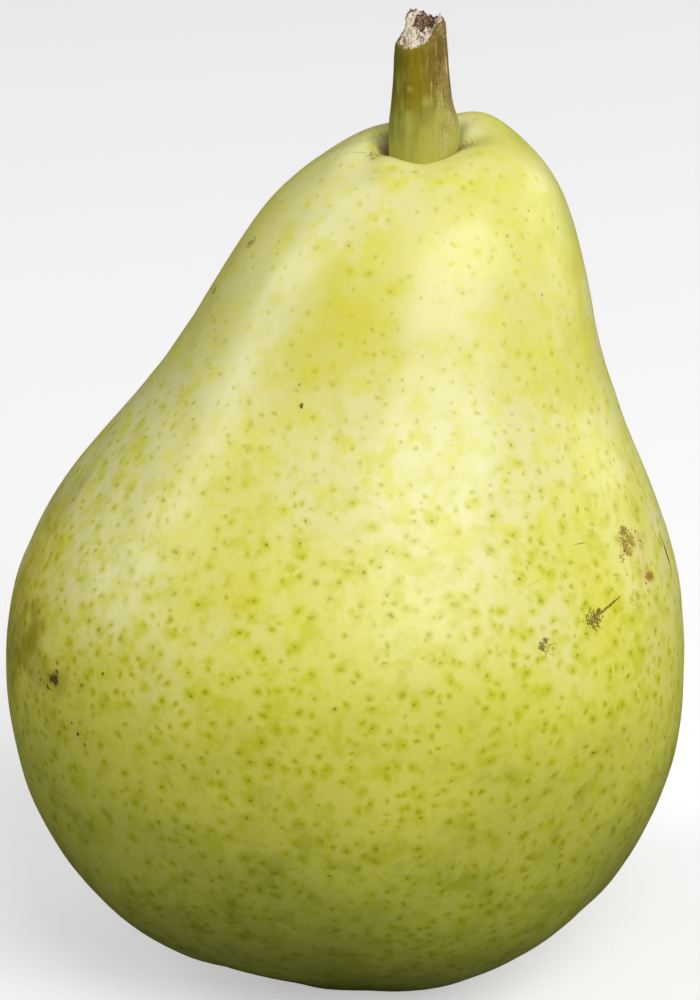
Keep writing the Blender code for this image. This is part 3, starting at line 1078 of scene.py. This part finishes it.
def make_dry_sepal(settings):
    """Dried leaf: brown with darker veins and edges, and fluffy at its foot."""
    material, net, shader, place = new_material("dry_sepal")
    along = net.painted("along")
    across = net.painted("across")
    leaf = net.add("ShaderNodeCombineXYZ", {"X": across, "Y": net.times(along, 0.35)}).outputs[0]
    veins = net.noise(leaf, 9.0, 3.0, 0.6)
    rough = net.noise(place, 1800.0, 3.0, 0.6)
    edge = net.plus(net.maths("ABSOLUTE", across), net.swing(rough, 0.8))
    base = net.mix(net.ramp(veins, 0.62, 0.40, 0.0, 0.7), settings.sepal, settings.sepal_edge)
    base = net.mix(net.ramp(edge, 0.65, 1.0, 0.0, 0.8), base, settings.sepal_edge)
    base = net.mix(net.ramp(along, 0.65, 1.0, 0.0, 0.9), base, settings.sepal_edge)
    down = net.times(net.ramp(rough, 0.45, 0.62), net.ramp(along, 0.75, 0.0, 0.05, 0.8))
    base = net.mix(down, base, settings.sepal_down)
    net.fill(shader, Base_Color=base, Roughness=0.85, Specular_IOR_Level=0.25)
    relief = net.plus(veins, net.times(rough, 0.6))
    net.bump(shader, relief, 0.7, 0.10 * MM)
    return material


def make_dry_stamen(settings):
    """Dried threads with darker heads."""
    material, net, shader, place = new_material("dry_stamen")
    tip = net.painted("tip")
    rough = net.noise(place, 3200.0, 3.0, 0.6)
    base = net.mix(tip, settings.stamen, settings.anther)
    base = net.mix(net.ramp(rough, 0.50, 0.66, 0.0, 0.5), base, settings.sepal_down)
    net.fill(shader, Base_Color=base, Roughness=0.85)
    net.bump(shader, rough, 0.6, 0.08 * MM)
    return material


def turn_all(angle, axis, centre=ORIGIN):
    """Turns the whole open piece, counter-clockwise as seen with the axis pointing at the viewer."""
    select_everything()
    bpy.ops.transform.rotate(value=-angle, orient_axis=axis, center_override=centre)


def copy_of(piece, name):
    """A copy with its own mesh."""
    only(piece)
    bpy.ops.object.duplicate()
    return added(name)


def model_sepal():
    """One sepal, cupped, keeled and curled, which hangs from the calyx on the side of +X."""
    columns, rows = 6, len(SEPAL_ROWS) - 1
    bpy.ops.mesh.primitive_grid_add(x_subdivisions=columns, y_subdivisions=rows, size=1.0)
    leaf = added("sepal_pattern")
    paint(leaf, "along", lambda place: place.y + 0.5)
    paint(leaf, "across", lambda place: 2.0 * place.x)
    edit(leaf)
    select_everything()
    scale(SEPAL_WIDTH, SEPAL_LENGTH, 1.0)
    move_by(0.0, SEPAL_LENGTH / 2, 0.0)
    for column in range(columns + 1):
        side = 2.0 * column / columns - 1.0
        select_points(leaf, lambda place: abs(place.x - side * SEPAL_WIDTH / 2) < NEAR)
        keel = SEPAL_KEEL if column == columns // 2 else 0.0
        move_by(0.0, 0.0, keel - SEPAL_CUP * side * side)
    for row, (width, curl) in enumerate(SEPAL_ROWS):
        level = SEPAL_LENGTH * row / rows
        select_points(leaf, lambda place: abs(place.y - level) < NEAR)
        scale(width, 1.0, 1.0)
        move_by(0.0, 0.0, SEPAL_CURL * curl)
    turn_all(math.radians(-90.0), "X")
    turn_all(math.radians(-90.0), "Z")
    turn_all(math.radians(-18.0), "Y")
    move_by(*(EYE + Vector((SEPAL_RING, 0.0, -SEPAL_SINK))))
    done()
    return leaf


class PEAR_OT_sepals(bpy.types.Operator):
    """Models the five dried sepals"""

    bl_idname = "pear.sepals"
    bl_label = "Sepals"

    def execute(self, context):
        material = make_dry_sepal(context.scene.pear_calyx)
        pattern = model_sepal()
        for number, node in enumerate(SEPAL_NODES):
            sepal = copy_of(pattern, f"dried_{node}")
            edit(sepal)
            outwards, sideways = SEPAL_BENDS[number]
            tip = EYE + Vector((SEPAL_RING + 2.5 * MM, 0.0, -SEPAL_SINK - SEPAL_LENGTH))
            nudge(sepal, tip, 3.5 * MM, (outwards * MM, sideways * MM, 0.0))
            turn_all(math.tau * (number + 0.3) / len(SEPAL_NODES), "Z", EYE)
            done()
            subdivide(sepal, 1)
            lump(sepal, 1.3 * MM, 0.55 * MM)
            lump(sepal, 0.45 * MM, 0.16 * MM)
            apply(sepal, "SOLIDIFY", thickness=0.26 * MM, offset=0.0, use_even_offset=False)
            subdivide(sepal, 1)
            finish_piece(sepal, "root", material, "dry_sepal", node)
        bpy.data.objects.remove(pattern)
        return {"FINISHED"}


def model_stamen():
    """One dried stamen, which hangs from the middle of the calyx: a bent thread with a two-lobed head."""
    bpy.ops.mesh.primitive_circle_add(vertices=6, radius=0.15 * MM, fill_type="NGON", location=EYE)
    stamen = added("stamen_pattern")
    bpy.ops.object.transform_apply()
    edit(stamen)
    select_everything()
    for bend in STAMEN_BENDS:
        bpy.ops.mesh.extrude_region_move(TRANSFORM_OT_translate={"value": (bend * MM, 0.0, -STAMEN_STEP)})
    foot = EYE + Vector((sum(STAMEN_BENDS) * MM, 0.0, -STAMEN_STEP * len(STAMEN_BENDS)))
    for side in (-1.0, 1.0):
        place = foot + Vector((0.0, side * 0.14 * MM, -0.1 * MM))
        bpy.ops.mesh.primitive_uv_sphere_add(segments=8, ring_count=6, radius=0.22 * MM, location=place)
        scale(1.0, 0.8, 1.7, place)
    select_everything()
    bpy.ops.mesh.normals_make_consistent(inside=False)
    done()
    paint(stamen, "tip", lambda place: smooth_step(place.z, foot.z + 0.9 * MM, foot.z + 0.3 * MM))
    return stamen


class PEAR_OT_stamens(bpy.types.Operator):
    """Models the tuft of dried stamens"""

    bl_idname = "pear.stamens"
    bl_label = "Stamens"

    def execute(self, context):
        settings = context.scene.pear_calyx
        pattern = model_stamen()
        base = EYE - Vector((0.0, 0.0, 0.6 * MM))
        bpy.ops.mesh.primitive_uv_sphere_add(segments=24, ring_count=12, radius=1.0, location=base)
        tuft = added("dried_stamens")
        bpy.ops.transform.resize(value=(1.55 * MM, 1.55 * MM, 0.6 * MM))
        bpy.ops.object.transform_apply()
        paint(tuft, "tip", lambda place: 0.3)
        copies = []
        for number in range(settings.stamens):
            ring = math.sqrt((number + 0.5) / settings.stamens)
            stamen = copy_of(pattern, f"stamen_{number + 1}")
            edit(stamen)
            turn_all(math.radians(9.0 * math.sin(5.0 * number)), "X", EYE)
            turn_all(math.radians(-26.0 * ring + 6.0 * math.sin(3.0 * number)), "Y", EYE)
            length = 0.85 + 0.15 * math.sin(7.0 * number)
            scale(1.0, 1.0, length, EYE)
            move_by(1.05 * ring * MM, 0.0, -0.55 * MM)
            turn_all(GOLDEN_ANGLE * number, "Z", EYE)
            done()
            copies.append(stamen)
        only(tuft)
        for stamen in copies:
            stamen.select_set(True)
        bpy.ops.object.join()
        bpy.data.objects.remove(pattern)
        subdivide(tuft, 1)
        lump(tuft, 0.5 * MM, 0.16 * MM)
        finish_piece(tuft, "root", make_dry_stamen(settings), "dry_stamen", "stamen_tuft")
        return {"FINISHED"}


# ---------------- the studio


LIGHT_DISTANCE = 0.9
# The lamps: name, azimuth and elevation in degrees, width and height in metres, and power setting with the
# share of it that the lamp has. Azimuth 0 is straight in front and 90 is at +X.
LAMPS = (
    ("key", 30.0, 38.0, (0.75, 0.70), "key_power", 1.0),
    ("strip", -90.0, 36.0, (0.30, 0.50), "strip_power", 1.0),
    ("right edge", 122.0, 20.0, (0.50, 0.50), "edge_power", 1.0),
    ("left edge", -120.0, 60.0, (0.40, 0.40), "edge_power", 0.15),
)
SURROUNDINGS = 0.08  # how bright the white surroundings are
FLOOR_SHADE = (0.50, 0.50, 0.49)  # the darker clouds in the floor
FLOOR_GLOW = (0.45, 0.45, 0.45)  # what the floor adds to its own colour where the camera sees it
BELLY_HEIGHT = 34.5 * MM
SENSOR_WIDTH = 36.0
LENS = 194.0
# How far above the belly and to its side the camera looks, in degrees, to have the whole stem in the picture.
LOOK_ABOVE = 1.49
LOOK_ASIDE = -0.04


def soft_light(name, azimuth, elevation, size, power, target):
    """A rectangular area light that looks at the target."""
    bearing = math.radians(azimuth)
    rise = math.radians(elevation)
    away = Vector((math.sin(bearing) * math.cos(rise), -math.cos(bearing) * math.cos(rise), math.sin(rise)))
    bpy.ops.object.light_add(type="AREA", location=target + away * LIGHT_DISTANCE)
    lamp = bpy.context.object
    lamp.name = name
    lamp.rotation_euler = away.to_track_quat("Z", "Y").to_euler()
    lamp.data.shape = "RECTANGLE"
    lamp.data.size, lamp.data.size_y = size
    lamp.data.energy = power


class PEAR_OT_stage(bpy.types.Operator):
    """Adds the floor, the lights, the surroundings and the camera"""

    bl_idname = "pear.stage"
    bl_label = "Studio"

    def execute(self, context):
        settings = context.scene.pear_stage
        bpy.ops.mesh.primitive_plane_add(size=6.0, location=ORIGIN)
        floor = added("floor")
        material, net, shader, place = new_material("floor_paper")
        cloud = net.noise(place, 6.0, 3.0)
        tone = net.mix(net.times(cloud, 0.04), settings.floor, FLOOR_SHADE)
        # The floor looks pale and sends little light back, so that the underside of the fruit stays in shade.
        ray = net.add("ShaderNodeLightPath").outputs
        seen = ray["Is Camera Ray"]
        bounce = settings.floor_bounce
        bounce = net.mix(ray["Is Glossy Ray"], (bounce,) * 3, (bounce * 0.25,) * 3)
        glow = net.mix(seen, (0.0, 0.0, 0.0), FLOOR_GLOW)
        net.fill(shader, Base_Color=net.mix(seen, bounce, tone), Emission_Color=glow, Emission_Strength=1.0)
        net.fill(shader, Roughness=0.9, Specular_IOR_Level=0.1)
        floor.data.materials.append(material)

        surroundings = bpy.data.worlds.new("studio")
        surroundings.use_nodes = True
        sky = Net(surroundings.node_tree)
        sky.fill(surroundings.node_tree.nodes["Background"], Color=(1.0, 1.0, 1.0), Strength=SURROUNDINGS)
        context.scene.world = surroundings
        context.scene.view_settings.view_transform = "Standard"

        belly = Vector((0.0, 0.0, BELLY_HEIGHT))
        for name, azimuth, elevation, size, power, part in LAMPS:
            soft_light(name, azimuth, elevation, size, part * getattr(settings, power), belly)

        rise = settings.camera_elevation
        away = Vector((0.0, -math.cos(rise), math.sin(rise)))
        bpy.ops.object.camera_add(location=belly + away * settings.camera_distance)
        camera = context.object
        camera.data.sensor_width = SENSOR_WIDTH
        camera.data.lens = LENS
        camera.data.clip_start = 0.01
        camera.rotation_euler = Euler((math.radians(90.0 + LOOK_ABOVE) - rise, 0.0, math.radians(LOOK_ASIDE)))
        context.scene.camera = camera
        return {"FINISHED"}


# ---------------- the add-on


class PEAR_PT_parts(bpy.types.Panel):
    """Lists what can be made"""

    bl_idname = "PEAR_PT_parts"
    bl_label = "Pear"
    bl_space_type = "VIEW_3D"
    bl_region_type = "UI"
    bl_category = "Pear"

    def draw(self, context):
        for group, operators in PARTS:
            box = self.layout.box()
            settings = getattr(context.scene, group)
            for name in settings.bl_rna.properties.keys():
                if name not in ("rna_type", "name"):
                    box.prop(settings, name)
            for operator in operators:
                box.operator(operator)


PARTS = (
    ("pear_skin", ("pear.fruit",)),
    ("pear_stem", ("pear.stem",)),
    ("pear_calyx", ("pear.sepals", "pear.stamens")),
    ("pear_stage", ("pear.stage",)),
)
GROUPS = {
    "pear_skin": PearSkinSettings,
    "pear_stem": PearStemSettings,
    "pear_calyx": PearCalyxSettings,
    "pear_stage": PearStageSettings,
}
OPERATORS = (PEAR_OT_fruit, PEAR_OT_stem, PEAR_OT_sepals, PEAR_OT_stamens, PEAR_OT_stage)
CLASSES = (*GROUPS.values(), *OPERATORS, PEAR_PT_parts)


def register():
    for item in CLASSES:
        bpy.utils.register_class(item)
    for name, group in GROUPS.items():
        setattr(bpy.types.Scene, name, PointerProperty(type=group))


def unregister():
    for name in GROUPS:
        delattr(bpy.types.Scene, name)
    for item in reversed(CLASSES):
        bpy.utils.unregister_class(item)


def main():
    register()
    bpy.ops.pear.fruit()
    bpy.ops.pear.stem()
    bpy.ops.pear.sepals()
    bpy.ops.pear.stamens()
    bpy.ops.pear.stage()


if __name__ == "__main__":
    main()
